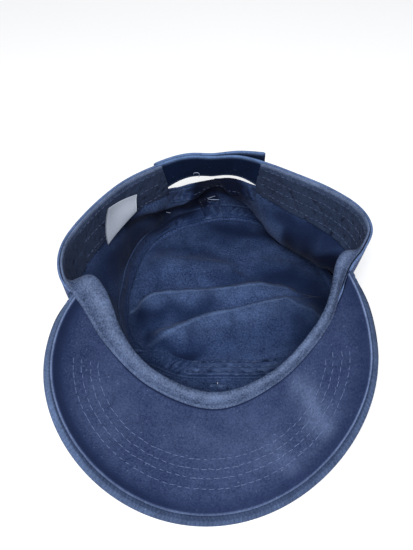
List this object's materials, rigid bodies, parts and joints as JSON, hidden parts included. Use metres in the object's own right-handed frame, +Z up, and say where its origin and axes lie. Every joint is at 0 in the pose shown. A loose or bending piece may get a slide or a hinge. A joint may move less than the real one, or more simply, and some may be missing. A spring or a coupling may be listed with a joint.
{
  "type": "army cap",
  "caption": "Soft cotton army cap with a curved visor, flat folded top, sweatband and a strap over a back opening, lying upside down.",
  "frame": {"origin": "under the middle of the cap's bounding box, on the surface that the upturned cap lies on", "axes": "+Z up, out of the open crown; -Y towards the visor's tip; +X to the right for somebody who looks at the front"},
  "size_m": [0.1955, 0.2608, 0.0819],
  "materials": {
    "crown_cloth": "washed navy cotton twill",
    "visor_cloth": "washed navy cotton twill",
    "sweatband_cloth": "faded grey-blue fine twill",
    "strap_cloth": "dark navy cotton twill",
    "label_cloth": "smooth pale satin weave"
  },
  "bodies": {
    "root": {"crown_top": "crown_cloth", "wall_right": "crown_cloth", "wall_left": "crown_cloth", "seam_tape": "crown_cloth", "front_tape": "crown_cloth", "front_seam_strip": "crown_cloth", "arch_binding": "crown_cloth", "sweatband": "sweatband_cloth", "visor_top": "visor_cloth", "visor_under": "visor_cloth", "strap_inner": "strap_cloth", "strap_outer": "strap_cloth", "care_label": "label_cloth"}
  },
  "joints": []
}
